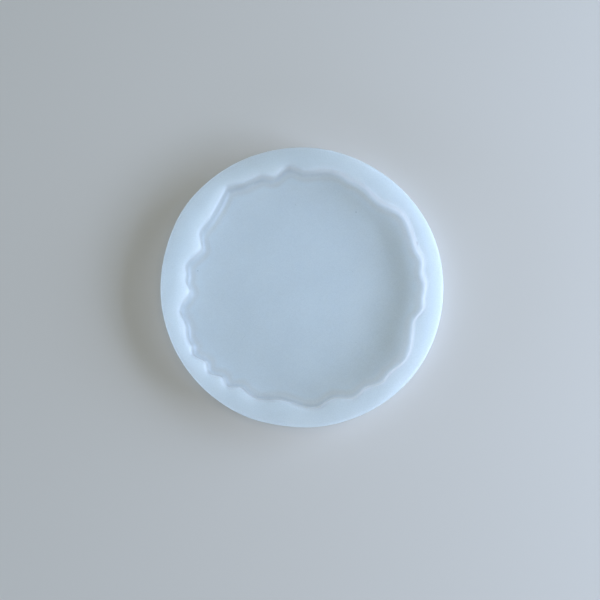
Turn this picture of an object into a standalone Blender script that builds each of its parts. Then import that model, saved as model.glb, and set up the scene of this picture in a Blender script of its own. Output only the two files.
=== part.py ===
"""Silicone mould for casting a wavy-edged coaster in resin.

The mould is one body of cast silicone: a low round disc whose flat rim surrounds a flat-floored cavity.
The cavity's edge is an irregular wave with one straight facet. Metres, +Z up. The origin is the centre of
the underside, which is the face that the mould rests on.
"""

import math

import bmesh
import bpy

MM = 0.001

# Driving dimensions
OUTER_RADIUS = 60 * MM
HEIGHT = 10 * MM
FLOOR_THICKNESS = 3 * MM
WALL_DRAFT = math.radians(1)
FACET_LEAN = math.radians(5)
LIP_ROUNDING = 1.2 * MM
FLOOR_FILLET = 1.6 * MM
RIM_EDGE_ROUNDING = 0.8 * MM
BASE_EDGE_ROUNDING = 0.5 * MM

# Turning points of the cavity's edge halfway up its wall, counter-clockwise from +X: angle in degrees and
# radius in millimetres. Crests and hollows follow each other, and a half wave joins each pair.
EDGE_TURNS = [
    (0.5, 53.1), (6, 52.1), (12, 53.2), (18, 52.0), (34, 53.6), (48.5, 49.9),
    (61, 51.2), (65.5, 50.9), (72, 51.9), (88.5, 49.7), (95.5, 51.7), (104.5, 48.5),
    (111, 50.7), (118, 50.6), (127.5, 53.0), (143.5, 48.6), (151.5, 49.2), (160, 45.8),
    (171, 50.0), (175, 49.2), (177.5, 49.4), (183, 47.8), (192.5, 52.8), (199, 51.9),
    (205.5, 53.3), (209, 53.1), (212.5, 54.4), (219, 52.1), (223.5, 53.8), (229.5, 51.4),
    (234, 52.8), (239.5, 50.3), (248, 51.5), (260, 49.3), (276.5, 52.2), (285.5, 49.7),
    (295.5, 52.5), (301.5, 51.4), (310, 53.4), (314.5, 52.8), (325, 54.3), (342.5, 50.4),
    (350, 52.9), (354, 52.5),
]
# The straight facet runs between the turning points at these angles.
FACET_START = 127.5
FACET_END = 143.5

# Fineness of the mesh
SEGMENTS = 240
ROUNDING_STEPS = 2

# Milky, slightly bluish silicone
SILICONE_COLOUR = (0.52, 0.66, 0.79)
SILICONE_ROUGHNESS = 0.42


def remove_scene_objects():
    for item in list(bpy.data.objects):
        bpy.data.objects.remove(item)


def half_wave(start, end, share):
    """A value that leaves start and reaches end with no slope, at a share of the way."""
    return start + (end - start) * (1 - math.cos(math.pi * share)) / 2


def chord_radius(start, end, angle):
    """The radius, at an angle, of the straight line between two (angle, radius) points."""
    to_start = math.radians(angle - start[0])
    to_end = math.radians(end[0] - angle)
    crossing = math.sin(to_start + to_end)
    return start[1] * end[1] * crossing / (start[1] * math.sin(to_start) + end[1] * math.sin(to_end))


def edge_radius(angle):
    """The radius of the cavity's edge halfway up the wall, at an angle in degrees."""
    angle %= 360
    first = EDGE_TURNS[0]
    last = EDGE_TURNS[-1]
    turns = [(last[0] - 360, last[1])] + EDGE_TURNS + [(first[0] + 360, first[1])]
    for start, end in zip(turns, turns[1:]):
        if start[0] <= angle <= end[0]:
            break
    if start[0] == FACET_START:
        return chord_radius(start, end, angle) * MM
    return half_wave(start[1], end[1], (angle - start[0]) / (end[0] - start[0])) * MM


def edge_point(angle):
    radius = edge_radius(angle)
    return radius * math.cos(math.radians(angle)), radius * math.sin(math.radians(angle))


def facet_reach(angle, height):
    """How far the facet stands in from an upright wall. It leans more and more from the rim's level down."""
    along = (angle - FACET_START) / (FACET_END - FACET_START)
    if along <= 0 or along >= 1:
        return 0
    return math.sin(math.pi * along) * math.tan(FACET_LEAN) * (HEIGHT - height)


def cavity_ring(offset, height):
    """The cavity's edge, moved out square to itself by offset, at a height."""
    step = 360 / SEGMENTS
    points = []
    for index in range(SEGMENTS):
        angle = index * step
        x, y = edge_point(angle)
        before = edge_point(angle - step / 2)
        after = edge_point(angle + step / 2)
        along = (after[0] - before[0], after[1] - before[1])
        length = math.hypot(*along)
        out = offset - facet_reach(angle, height)
        points.append((x + out * along[1] / length, y - out * along[0] / length, height))
    return points


def circle_ring(radius, height):
    turn = 2 * math.pi / SEGMENTS
    return [
        (radius * math.cos(index * turn), radius * math.sin(index * turn), height)
        for index in range(SEGMENTS)
    ]


def quarter_steps():
    """Cosine and sine at even steps over a quarter turn, both ends included."""
    for step in range(ROUNDING_STEPS + 1):
        quarter = math.pi / 2 * step / ROUNDING_STEPS
        yield math.cos(quarter), math.sin(quarter)


def outer_rings():
    """From the underside's edge, up the outside of the disc, to where the flat rim starts."""
    rings = [
        circle_ring(OUTER_RADIUS - BASE_EDGE_ROUNDING, 0),
        circle_ring(OUTER_RADIUS, BASE_EDGE_ROUNDING),
    ]
    for cosine, sine in quarter_steps():
        radius = OUTER_RADIUS - RIM_EDGE_ROUNDING * (1 - cosine)
        rings.append(circle_ring(radius, HEIGHT - RIM_EDGE_ROUNDING * (1 - sine)))
    return rings


def cavity_rings():
    """From the flat rim, round the lip, down the cavity's wall and round the fillet to the floor."""
    draft = (HEIGHT - FLOOR_THICKNESS) / 2 * math.tan(WALL_DRAFT)
    rings = []
    for cosine, sine in quarter_steps():
        rings.append(cavity_ring(draft + LIP_ROUNDING * (1 - sine), HEIGHT - LIP_ROUNDING * (1 - cosine)))
    for cosine, sine in quarter_steps():
        height = FLOOR_THICKNESS + FLOOR_FILLET * (1 - sine)
        rings.append(cavity_ring(-draft - FLOOR_FILLET * (1 - cosine), height))
    return rings


def bridge(mesh, lower, upper):
    """A band of quads between two rings of vertices."""
    for index in range(SEGMENTS):
        after = (index + 1) % SEGMENTS
        mesh.faces.new((lower[index], lower[after], upper[after], upper[index]))


def cap(mesh, ring, height):
    """A fan of triangles from a ring to a vertex on the axis, turned to the side that closes the body."""
    centre = mesh.verts.new((0, 0, height))
    for index in range(SEGMENTS):
        mesh.faces.new((ring[index], ring[(index + 1) % SEGMENTS], centre))


def silicone_material():
    material = bpy.data.materials.new("milky_silicone")
    material.use_nodes = True
    shader = material.node_tree.nodes["Principled BSDF"]
    shader.inputs["Base Color"].default_value = (*SILICONE_COLOUR, 1)
    shader.inputs["Roughness"].default_value = SILICONE_ROUGHNESS
    shader.inputs["Metallic"].default_value = 0
    return material


def mould_body():
    """The whole mould, as one closed surface from the underside's centre to the cavity floor's centre."""
    body = bmesh.new()
    rings = [
        [body.verts.new(point) for point in ring]
        for ring in outer_rings() + cavity_rings()
    ]
    cap(body, rings[0][::-1], 0)
    for lower, upper in zip(rings, rings[1:]):
        bridge(body, lower, upper)
    cap(body, rings[-1], FLOOR_THICKNESS)
    data = bpy.data.meshes.new("mould_body")
    body.to_mesh(data)
    body.free()
    data.shade_smooth()
    data.set_sharp_from_angle(angle=math.radians(50))
    data.materials.append(silicone_material())
    mould = bpy.data.objects.new("mould_body", data)
    bpy.context.scene.collection.objects.link(mould)


remove_scene_objects()
mould_body()
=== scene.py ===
"""The look of the silicone coaster mould.

One fine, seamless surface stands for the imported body. Its wavy wall is read back from that body, and finer
roundings, a slightly uneven rim and floor and the out-of-round outside are added here. Metres, +Z up.
"""

import math

import bpy
import numpy as np
from mathutils import Matrix, Vector


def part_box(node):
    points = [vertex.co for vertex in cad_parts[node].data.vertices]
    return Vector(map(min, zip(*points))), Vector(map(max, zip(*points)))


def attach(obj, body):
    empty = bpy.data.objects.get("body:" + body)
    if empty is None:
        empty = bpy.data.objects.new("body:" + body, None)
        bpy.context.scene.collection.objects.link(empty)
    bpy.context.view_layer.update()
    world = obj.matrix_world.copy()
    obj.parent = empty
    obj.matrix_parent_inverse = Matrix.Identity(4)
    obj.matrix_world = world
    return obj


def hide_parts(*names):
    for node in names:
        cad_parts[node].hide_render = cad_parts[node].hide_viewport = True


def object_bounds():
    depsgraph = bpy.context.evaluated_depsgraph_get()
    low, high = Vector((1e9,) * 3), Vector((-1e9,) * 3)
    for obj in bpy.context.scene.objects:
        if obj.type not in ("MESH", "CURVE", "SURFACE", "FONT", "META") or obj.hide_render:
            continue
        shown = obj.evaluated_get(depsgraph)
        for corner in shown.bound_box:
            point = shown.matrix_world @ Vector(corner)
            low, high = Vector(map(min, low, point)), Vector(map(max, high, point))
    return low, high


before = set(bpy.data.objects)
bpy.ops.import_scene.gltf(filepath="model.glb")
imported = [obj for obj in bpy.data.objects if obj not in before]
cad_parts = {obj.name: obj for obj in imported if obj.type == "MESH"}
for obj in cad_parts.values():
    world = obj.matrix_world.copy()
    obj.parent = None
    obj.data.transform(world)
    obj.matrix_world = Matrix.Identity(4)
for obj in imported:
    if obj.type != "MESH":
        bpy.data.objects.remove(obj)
cad_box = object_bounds()

MM = 0.001
NODE = "mould_body"

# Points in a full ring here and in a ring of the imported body. Near the axis a ring drops every second point,
# again and again, while its points are closer than CLOSEST and there are more than FEWEST of them.
SEGMENTS = 960
CAD_SEGMENTS = 240
CLOSEST = 0.16 * MM
FEWEST = 60

# How many rings lie in each rounding and over the rim, and where they lie on a straight wall
BASE_EDGE_RINGS = 5
RIM_EDGE_RINGS = 7
LIP_RINGS = 9
FILLET_RINGS = 8
RIM_RINGS = 10
WALL_SHARES = (0.2, 0.4, 0.6, 0.8)

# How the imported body's points are told apart: the cavity's lie within this share of the disc's radius, and
# those of one ring are this close in height, which is the fifth decimal in metres
CAVITY_REACH = 0.96
SAME_LEVEL = 0.01 * MM
LEVEL_DECIMALS = 5

# Where rings lie, as shares of the way out from the axis: on the cavity's floor close to the wall's foot,
# then on the rest of the floor and on the underside
FOOT_SHARES = (0.985, 0.97, 0.955, 0.94)
FLAT_SHARES = (0.92, 0.89, 0.86, 0.78, 0.68, 0.57, 0.46, 0.35, 0.24, 0.12, 0.05)

# Roundings of the outer edges
RIM_EDGE_ROUNDING = 0.9 * MM
BASE_EDGE_ROUNDING = 0.5 * MM

# Small unevenness of the flexible silicone: how long and how high its waves are. The underside has none.
RIM_WAVE = 9 * MM, 0.06 * MM
FLOOR_WAVE = 12 * MM, 0.03 * MM
UNDERSIDE_WAVE = 12 * MM, 0

# Places where the outside leaves its circle: middle and half width in degrees, and how far out in metres
OUTSIDE_BULGES = [
    (54, 38, -0.45 * MM),
    (118, 20, 0.3 * MM),
    (143, 26, 0.65 * MM),
    (262, 16, -0.35 * MM),
    (320, 45, 0.5 * MM),
]

# The milky silicone's bluish surface and the warmer light that comes through it, each as a colour on the flat
# faces and one on the steep wall. The surface's darker colour on the wall is painted shade: it dims the wall,
# its lip and the floor close to its foot. SCATTER_REACH is how far light spreads under the surface.
SURFACE_TINT_AND_PAINTED_WALL_SHADE = (0.8, 0.9, 0.985), (0.62, 0.72, 0.82)
THROUGH_TINTS = (0.925, 0.92, 0.905), (0.95, 0.91, 0.85)
SCATTER_REACH = 5 * MM
SILICONE_IOR = 1.41
PLAIN_SHINE = 0.5
FACE_ROUGHNESS = 0.45
WALL_ROUGHNESS = 0.18

# The share of light that comes through each stretch of the surface, and the mesh attribute that holds it.
# The wall's is the largest, so the share also tells the wall from the flat faces.
UNDERSIDE_THROUGH = 0.0
OUTSIDE_THROUGH = 0.62
RIM_THROUGH = 0.7
WALL_THROUGH = 0.8
FLOOR_THROUGH = 0.7
THROUGH = "through_share"

# Unevenness of the silicone's look: how large its lumps are, and the factors that they run between.
# NOISE_MIDDLE is the range in which most of the noise lies, and what lies past it is held at its ends.
CLOUD_SIZE = 17 * MM
CLOUD_SHADES = (0.985, 1.015)
GRAIN_SIZE = 0.45 * MM
GRAIN_SHADES = (0.96, 1.03)
GRAIN_HEIGHT = 0.012 * MM
SMEAR_SIZE = 6 * MM
SMEAR_SHADES = (0.85, 1.15)
NOISE_MIDDLE = (0.3, 0.7)

# Specks, a faint scratch and a nick in the lip: place and half widths in millimetres, turn in degrees, and
# the factor that the silicone's colour has in its middle. MARK_EDGE is where each mark starts and stops to
# fade, as shares of its half widths.
MARKS = [
    ((23.8, 32.7, 3), (0.4, 0.35, 1), 0, 0.72),
    ((-2.7, 36.1, 3), (0.35, 0.3, 1), 0, 0.85),
    ((22.0, 6.6, 3), (0.3, 0.3, 1), 0, 0.88),
    ((23.3, -24.2, 3), (0.35, 0.3, 1), 0, 0.85),
    ((-45.2, 7.1, 3), (0.45, 0.4, 1), 0, 0.75),
    ((-25.3, -22.4, 3), (2.6, 0.25, 1), 50, 0.95),
    ((49.3, 17.6, 9.6), (1.3, 0.5, 1), 110, 0.85),
]
MARK_EDGE = (0.4, 1)

# The stage floor: half its side, how far it lies under the mould, colour and roughness
FLOOR_HALF = 3
FLOOR_GAP = 0.2 * MM
FLOOR_COLOUR = (0.66, 0.62, 0.57)
FLOOR_ROUGHNESS = 0.8

# Lights: azimuth counter-clockwise from +X and elevation in degrees, size in metres, power in watts, colour
LIGHT_DISTANCE = 0.9
WINDOW = (4, 16), (0.9, 0.5), 16.2, (0.55, 0.71, 1.0)
FAR_WALL = (195, 8), (0.6, 0.2), 2.7, (0.48, 0.67, 1.0)
WINDOW_GAP = (-20, 18), (0.3, 0.1), 1.7, (0.65, 0.76, 1.0)
CEILING = (0, 85), (0.6, 0.6), 1.3, (1.0, 0.76, 0.5)
FRONT = (-90, 12), (0.7, 0.2), 1.9, (0.6, 0.7, 1.0)
ROOM_TINT = (0.205, 0.262, 0.27)

# The camera, nearly overhead: how far away, how far it tilts towards the front and leans to the right, how
# wide its view is at the rim's level, and where it aims from the rim's centre
CAMERA_DISTANCE = 0.32
CAMERA_TILT = math.radians(7.5)
CAMERA_LEAN = math.radians(1.4)
VIEW_WIDTH = 0.2541
AIM_FROM_CENTRE = (-0.5 * MM, -6.6 * MM)


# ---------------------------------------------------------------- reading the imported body

def cavity_points():
    """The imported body's vertices that belong to the cavity, as an array."""
    points = np.array([vertex.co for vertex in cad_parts[NODE].data.vertices])
    reach = np.hypot(points[:, 0], points[:, 1])
    return points[reach < CAVITY_REACH * reach.max()]


def wall_heights(points):
    """Lowest and highest level of the straight wall: the tallest step between two rings."""
    levels = np.unique(np.round(points[:, 2], LEVEL_DECIMALS))
    foot = int(np.argmax(np.diff(levels)))
    return levels[foot], levels[foot + 1]


def ring_radii(points, level):
    """The radius of one level's ring at CAD_SEGMENTS even steps."""
    ring = points[np.abs(points[:, 2] - level) < SAME_LEVEL]
    angles = np.arctan2(ring[:, 1], ring[:, 0])
    radii = np.hypot(ring[:, 0], ring[:, 1])
    order = np.argsort(angles)
    steps = np.arange(CAD_SEGMENTS) * 2 * np.pi / CAD_SEGMENTS
    return np.interp(steps, angles[order], radii[order], period=2 * np.pi)


def finer(radii):
    """The smooth closed curve through even steps, read at SEGMENTS even steps."""
    return np.fft.irfft(np.fft.rfft(radii), SEGMENTS) * SEGMENTS / len(radii)


def wall_line(points, level):
    """The cavity's outline at one level of its wall, as x and y at SEGMENTS even steps."""
    return on_circle(finer(ring_radii(points, level)))


# ---------------------------------------------------------------- rings

def step_angles():
    return np.arange(SEGMENTS) * 2 * np.pi / SEGMENTS


def on_circle(radii):
    """Points at even steps round the axis, at a radius or at one radius for each step."""
    angles = step_angles()
    return np.column_stack((radii * np.cos(angles), radii * np.sin(angles)))


def moved_out(outline, offset):
    """A closed outline moved out square to itself."""
    along = np.roll(outline, -1, axis=0) - np.roll(outline, 1, axis=0)
    along /= np.linalg.norm(along, axis=1, keepdims=True)
    return outline + offset * np.column_stack((along[:, 1], -along[:, 0]))


def at_height(outline, height):
    return np.column_stack((outline, np.full(len(outline), height)))


def quarter(count):
    """Cosine and sine at even steps over a quarter turn, both ends included."""
    for angle in np.linspace(0, math.pi / 2, count):
        yield math.cos(angle), math.sin(angle)


def bump_at(angles, middle, half_width):
    """A smooth bump round the axis, 1 at its middle and 0 past its half width, in degrees."""
    away = (np.degrees(angles) - middle + 180) % 360 - 180
    return np.where(np.abs(away) < half_width, np.cos(np.pi / 2 * away / half_width) ** 2, 0)


def outside_outline(radius):
    """The disc's outside: a circle, with the places where the soft silicone leaves it."""
    angles = step_angles()
    radii = np.full(SEGMENTS, radius)
    for middle, half_width, out in OUTSIDE_BULGES:
        radii += out * bump_at(angles, middle, half_width)
    return on_circle(radii)


def slow_wave(points, wave):
    """Gentle hills and hollows, at most as high as the wave. The odd factors keep them from lining up."""
    length, height = wave
    x, y = points[:, 0] / length, points[:, 1] / length
    hills = np.sin(x + 1.3 * np.sin(0.7 * y)) * np.cos(0.9 * y + 0.8 * np.sin(1.1 * x + 2))
    return height * hills


# ---------------------------------------------------------------- the surface

def flat_rings(edge, height, shares, wave):
    """Rings of a flat face inside its edge, on gentle waves that die out at the edge and at the axis."""
    rings = []
    for share in shares:
        ring = at_height(edge * share, height)
        ring[:, 2] += slow_wave(ring, wave) * math.sin(math.pi * share)
        rings.append(ring)
    return rings


def side_rings(outside, low, high):
    """Round the base's edge, up the outside and round the rim's edge."""
    rings = []
    for cosine, sine in quarter(BASE_EDGE_RINGS):
        out = moved_out(outside, -BASE_EDGE_ROUNDING * (1 - sine))
        rings.append(at_height(out, low + BASE_EDGE_ROUNDING * (1 - cosine)))
    for share in WALL_SHARES:
        height = low + BASE_EDGE_ROUNDING + share * (high - low - BASE_EDGE_ROUNDING - RIM_EDGE_ROUNDING)
        rings.append(at_height(outside, height))
    for cosine, sine in quarter(RIM_EDGE_RINGS):
        out = moved_out(outside, -RIM_EDGE_ROUNDING * (1 - cosine))
        rings.append(at_height(out, high - RIM_EDGE_ROUNDING * (1 - sine)))
    return rings


def rim_rings(outer, lip, high):
    """Over the flat rim, between its rounded edge and the lip."""
    rings = []
    for share in np.linspace(0, 1, RIM_RINGS + 2)[1:-1]:
        ring = at_height(outer + share * (lip - outer), high)
        ring[:, 2] += slow_wave(ring, RIM_WAVE) * math.sin(math.pi * share)
        rings.append(ring)
    return rings


def lip_rings(line, head, high):
    """Round the lip, from the rim to the head of the wall."""
    rounding = high - head
    return [
        at_height(moved_out(line, rounding * (1 - sine)), high - rounding * (1 - cosine))
        for cosine, sine in quarter(LIP_RINGS)
    ]


def wall_rings(head_line, head, foot_line, foot):
    """Down the straight wall, between its head and its foot."""
    return [
        at_height(head_line + share * (foot_line - head_line), head + share * (foot - head))
        for share in WALL_SHARES
    ]


def fillet_rings(line, foot, floor):
    """Round the fillet, from the foot of the wall to the floor."""
    rounding = foot - floor
    return [
        at_height(moved_out(line, -rounding * (1 - cosine)), floor + rounding * (1 - sine))
        for cosine, sine in quarter(FILLET_RINGS)
    ]


def stretches():
    """The surface from the underside to the cavity's floor, as stretches of rings.

    Each has the share of light that comes through at its first ring and at its last one.
    """
    points = cavity_points()
    low, high = (corner.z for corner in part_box(NODE))
    floor = points[:, 2].min()
    foot, head = wall_heights(points)
    foot_line, head_line = wall_line(points, foot), wall_line(points, head)
    side = side_rings(outside_outline(cad_box[1].x), low, high)
    lip = lip_rings(head_line, head, high)
    fillet = fillet_rings(foot_line, foot, floor)
    base_edge, rim_edge, floor_edge = side[0][:, :2], side[-1][:, :2], fillet[-1][:, :2]
    return [
        (flat_rings(base_edge, low, FLAT_SHARES[::-1], UNDERSIDE_WAVE), UNDERSIDE_THROUGH, UNDERSIDE_THROUGH),
        (side, OUTSIDE_THROUGH, OUTSIDE_THROUGH),
        (rim_rings(rim_edge, lip[0][:, :2], high), RIM_THROUGH, RIM_THROUGH),
        (lip, RIM_THROUGH, WALL_THROUGH),
        (wall_rings(head_line, head, foot_line, foot), WALL_THROUGH, WALL_THROUGH),
        (fillet, WALL_THROUGH, WALL_THROUGH),
        (flat_rings(floor_edge, floor, FOOT_SHARES, FLOOR_WAVE), WALL_THROUGH, FLOOR_THROUGH),
        (flat_rings(floor_edge, floor, FLAT_SHARES, FLOOR_WAVE), FLOOR_THROUGH, FLOOR_THROUGH),
    ]


def thinned(ring):
    """A ring with every second point left out, again and again, while its points crowd together."""
    reach = np.hypot(ring[:, 0], ring[:, 1]).mean()
    while len(ring) > FEWEST and 2 * math.pi * reach / len(ring) < CLOSEST:
        ring = ring[::2]
    return ring


def part_of_ring(start, count, index, steps):
    """The numbers of the points along one part of a ring, both ends included."""
    return [start + (index * steps + step) % count for step in range(steps + 1)]


def band(first, first_count, second, second_count):
    """Faces between two rings, given by their first points. One may have twice the other's points."""
    parts = min(first_count, second_count)
    for index in range(parts):
        along_first = part_of_ring(first, first_count, index, first_count // parts)
        along_second = part_of_ring(second, second_count, index, second_count // parts)
        yield along_first + along_second[::-1]


def ring_faces(counts):
    """The faces of a closed surface through rings of these many points, flat at its first and last ring."""
    starts = np.cumsum([0, *counts]).tolist()
    faces = [list(range(counts[0]))[::-1]]
    for number in range(len(counts) - 1):
        faces += band(starts[number], counts[number], starts[number + 1], counts[number + 1])
    faces.append(list(range(starts[-2], starts[-1])))
    return faces


def fine_mould():
    """The whole mould as one closed mesh, with the share of light that comes through at each point."""
    rings, shares = [], []
    for stretch, first_share, last_share in stretches():
        rings += [thinned(ring) for ring in stretch]
        shares += np.linspace(first_share, last_share, len(stretch)).tolist()
    counts = [len(ring) for ring in rings]
    data = bpy.data.meshes.new("silicone_mould")
    data.from_pydata(np.vstack(rings).tolist(), [], ring_faces(counts))
    data.validate()
    data.shade_smooth()
    through = data.attributes.new(THROUGH, "FLOAT", "POINT")
    through.data.foreach_set("value", np.repeat(shares, counts).astype(np.float32))
    mould = bpy.data.objects.new("silicone_mould", data)
    bpy.context.scene.collection.objects.link(mould)
    return mould


# ---------------------------------------------------------------- materials

def noise(tree, size):
    """Procedural noise over the object, in lumps of about this size."""
    place = tree.nodes.new("ShaderNodeTexCoord")
    lumps = tree.nodes.new("ShaderNodeTexNoise")
    lumps.inputs["Scale"].default_value = 1 / size
    tree.links.new(place.outputs["Object"], lumps.inputs["Vector"])
    return lumps.outputs["Fac"]


def carried(tree, value, before, after):
    """A value carried from one range to another, and held at the ends."""
    node = tree.nodes.new("ShaderNodeMapRange")
    node.inputs["From Min"].default_value, node.inputs["From Max"].default_value = before
    node.inputs["To Min"].default_value, node.inputs["To Max"].default_value = after
    tree.links.new(value, node.inputs["Value"])
    return node.outputs["Result"]


def product(tree, first, second):
    """Two values multiplied."""
    node = tree.nodes.new("ShaderNodeMath")
    node.operation = "MULTIPLY"
    tree.links.new(first, node.inputs[0])
    tree.links.new(second, node.inputs[1])
    return node.outputs["Value"]


def mark_shade(tree, middle, half_widths, turn, darkest):
    """The factor of one small mark: darkest in its middle, softly back to 1 at its edge."""
    place = tree.nodes.new("ShaderNodeTexCoord")
    mark = tree.nodes.new("ShaderNodeMapping")
    mark.vector_type = "TEXTURE"
    mark.inputs["Location"].default_value = Vector(middle) * MM
    mark.inputs["Rotation"].default_value = (0, 0, math.radians(turn))
    mark.inputs["Scale"].default_value = Vector(half_widths) * MM
    away = tree.nodes.new("ShaderNodeVectorMath")
    away.operation = "LENGTH"
    tree.links.new(place.outputs["Object"], mark.inputs["Vector"])
    tree.links.new(mark.outputs["Vector"], away.inputs[0])
    return carried(tree, away.outputs["Value"], MARK_EDGE, (darkest, 1))


def silicone_shade(tree):
    """How light or dark the silicone is at each point: cloudy, fine-grained and slightly marked."""
    clouds = carried(tree, noise(tree, CLOUD_SIZE), NOISE_MIDDLE, CLOUD_SHADES)
    grain = carried(tree, noise(tree, GRAIN_SIZE), NOISE_MIDDLE, GRAIN_SHADES)
    shade = product(tree, clouds, grain)
    for mark in MARKS:
        shade = product(tree, shade, mark_shade(tree, *mark))
    return shade


def tinted(tree, shade, steepness, tints):
    """A colour that runs from one tint on flat faces to another on the wall, times the shade."""
    flat_tint, wall_tint = tints
    tint = tree.nodes.new("ShaderNodeMixRGB")
    tint.inputs["Color1"].default_value = (*flat_tint, 1)
    tint.inputs["Color2"].default_value = (*wall_tint, 1)
    shaded = tree.nodes.new("ShaderNodeVectorMath")
    shaded.operation = "SCALE"
    tree.links.new(steepness, tint.inputs["Fac"])
    tree.links.new(tint.outputs["Color"], shaded.inputs[0])
    tree.links.new(shade, shaded.inputs["Scale"])
    return shaded.outputs["Vector"]


def grain_normal(tree):
    """The surface's direction, roughened by fine grain."""
    bump = tree.nodes.new("ShaderNodeBump")
    bump.inputs["Distance"].default_value = GRAIN_HEIGHT
    tree.links.new(noise(tree, GRAIN_SIZE), bump.inputs["Height"])
    return bump.outputs["Normal"]


def whole_shine(tree, share):
    """The specular level that keeps the whole shine, though a share of the light comes through instead."""
    rest = tree.nodes.new("ShaderNodeMath")
    rest.operation = "SUBTRACT"
    rest.inputs[0].default_value = 1
    tree.links.new(share, rest.inputs[1])
    level = tree.nodes.new("ShaderNodeMath")
    level.operation = "DIVIDE"
    level.inputs[0].default_value = PLAIN_SHINE
    tree.links.new(rest.outputs["Value"], level.inputs[1])
    return level.outputs["Value"]


def silicone():
    """Part of the light that meets the silicone spreads under its surface, and the rest comes through it."""
    material = bpy.data.materials.new("milky_silicone")
    material.use_nodes = True
    tree = material.node_tree
    share = tree.nodes.new("ShaderNodeAttribute")
    share.attribute_name = THROUGH
    ends = (FLOOR_THROUGH, WALL_THROUGH)
    # 1 on the wall, 0 on the flat faces, in between on the lip and the floor close to the wall's foot; it
    # carries the wall's painted shade
    steepness = carried(tree, share.outputs["Fac"], ends, (0, 1))
    roughness = carried(tree, share.outputs["Fac"], ends, (FACE_ROUGHNESS, WALL_ROUGHNESS))
    smears = carried(tree, noise(tree, SMEAR_SIZE), NOISE_MIDDLE, SMEAR_SHADES)
    shade = silicone_shade(tree)
    normal = grain_normal(tree)

    surface = tree.nodes["Principled BSDF"]
    surface.inputs["IOR"].default_value = SILICONE_IOR
    tree.links.new(whole_shine(tree, share.outputs["Fac"]), surface.inputs["Specular IOR Level"])
    surface.inputs["Subsurface Weight"].default_value = 1
    surface.inputs["Subsurface Radius"].default_value = (1, 1, 1)
    surface.inputs["Subsurface Scale"].default_value = SCATTER_REACH
    # The base colour turns darker on the wall and close to its foot: painted shade
    tree.links.new(tinted(tree, shade, steepness, SURFACE_TINT_AND_PAINTED_WALL_SHADE), surface.inputs["Base Color"])
    tree.links.new(product(tree, roughness, smears), surface.inputs["Roughness"])
    tree.links.new(normal, surface.inputs["Normal"])

    through = tree.nodes.new("ShaderNodeBsdfTranslucent")
    tree.links.new(tinted(tree, shade, steepness, THROUGH_TINTS), through.inputs["Color"])
    tree.links.new(normal, through.inputs["Normal"])

    mix = tree.nodes.new("ShaderNodeMixShader")
    tree.links.new(share.outputs["Fac"], mix.inputs["Fac"])
    tree.links.new(surface.outputs[0], mix.inputs[1])
    tree.links.new(through.outputs[0], mix.inputs[2])
    tree.links.new(mix.outputs[0], tree.nodes["Material Output"].inputs["Surface"])
    return material


def pale_floor():
    material = bpy.data.materials.new("pale_floor")
    material.use_nodes = True
    shader = material.node_tree.nodes["Principled BSDF"]
    shader.inputs["Base Color"].default_value = (*FLOOR_COLOUR, 1)
    shader.inputs["Roughness"].default_value = FLOOR_ROUGHNESS
    return material


# ---------------------------------------------------------------- studio

def floor_plane():
    data = bpy.data.meshes.new("floor")
    corners = [(FLOOR_HALF * x, FLOOR_HALF * y, 0) for x, y in ((-1, -1), (1, -1), (1, 1), (-1, 1))]
    data.from_pydata(corners, [], [(0, 1, 2, 3)])
    data.materials.append(pale_floor())
    plane = bpy.data.objects.new("floor", data)
    plane.location.z = -FLOOR_GAP
    bpy.context.scene.collection.objects.link(plane)


def looking(away):
    """The rotation of a camera that looks against the direction away, with +Y up in its picture."""
    across = Vector((0, 1, 0)).cross(away).normalized()
    return Matrix((across, away.cross(across), away)).transposed().to_quaternion()


def soft_light(name, place, size, power, colour):
    """A soft rectangle of light that looks at the mould."""
    azimuth, elevation = place
    lamp = bpy.data.lights.new(name, "AREA")
    lamp.shape = "RECTANGLE"
    lamp.size, lamp.size_y = size
    lamp.energy = power
    lamp.color = colour
    around, above = math.radians(azimuth), math.radians(elevation)
    away = Vector((math.cos(around) * math.cos(above), math.sin(around) * math.cos(above), math.sin(above)))
    holder = bpy.data.objects.new(name, lamp)
    holder.rotation_mode = "QUATERNION"
    holder.rotation_quaternion = away.to_track_quat("Z", "Y")
    holder.location = away * LIGHT_DISTANCE
    bpy.context.scene.collection.objects.link(holder)


def surroundings():
    world = bpy.data.worlds.new("soft_room")
    world.use_nodes = True
    background = world.node_tree.nodes["Background"]
    background.inputs["Color"].default_value = (*ROOM_TINT, 1)
    bpy.context.scene.world = world


def camera():
    lens = bpy.data.cameras.new("camera")
    rim_centre = Vector((0, 0, cad_box[1].z))
    back = Vector((
        math.sin(CAMERA_LEAN),
        -math.sin(CAMERA_TILT),
        math.cos(CAMERA_TILT) * math.cos(CAMERA_LEAN),
    )).normalized()
    place = rim_centre + back * CAMERA_DISTANCE
    aim = rim_centre + Vector((*AIM_FROM_CENTRE, 0))
    lens.lens = lens.sensor_width * CAMERA_DISTANCE / VIEW_WIDTH
    holder = bpy.data.objects.new("camera", lens)
    holder.location = place
    holder.rotation_mode = "QUATERNION"
    holder.rotation_quaternion = looking((place - aim).normalized())
    bpy.context.scene.collection.objects.link(holder)
    bpy.context.scene.camera = holder


# ---------------------------------------------------------------- the scene

bpy.context.scene.view_settings.view_transform = "Standard"
mould = fine_mould()
mould.data.materials.append(silicone())
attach(mould, "root")
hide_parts(NODE)

floor_plane()
surroundings()
soft_light("window", *WINDOW)
soft_light("window_gap", *WINDOW_GAP)
soft_light("far_wall", *FAR_WALL)
soft_light("ceiling", *CEILING)
soft_light("front", *FRONT)
camera()
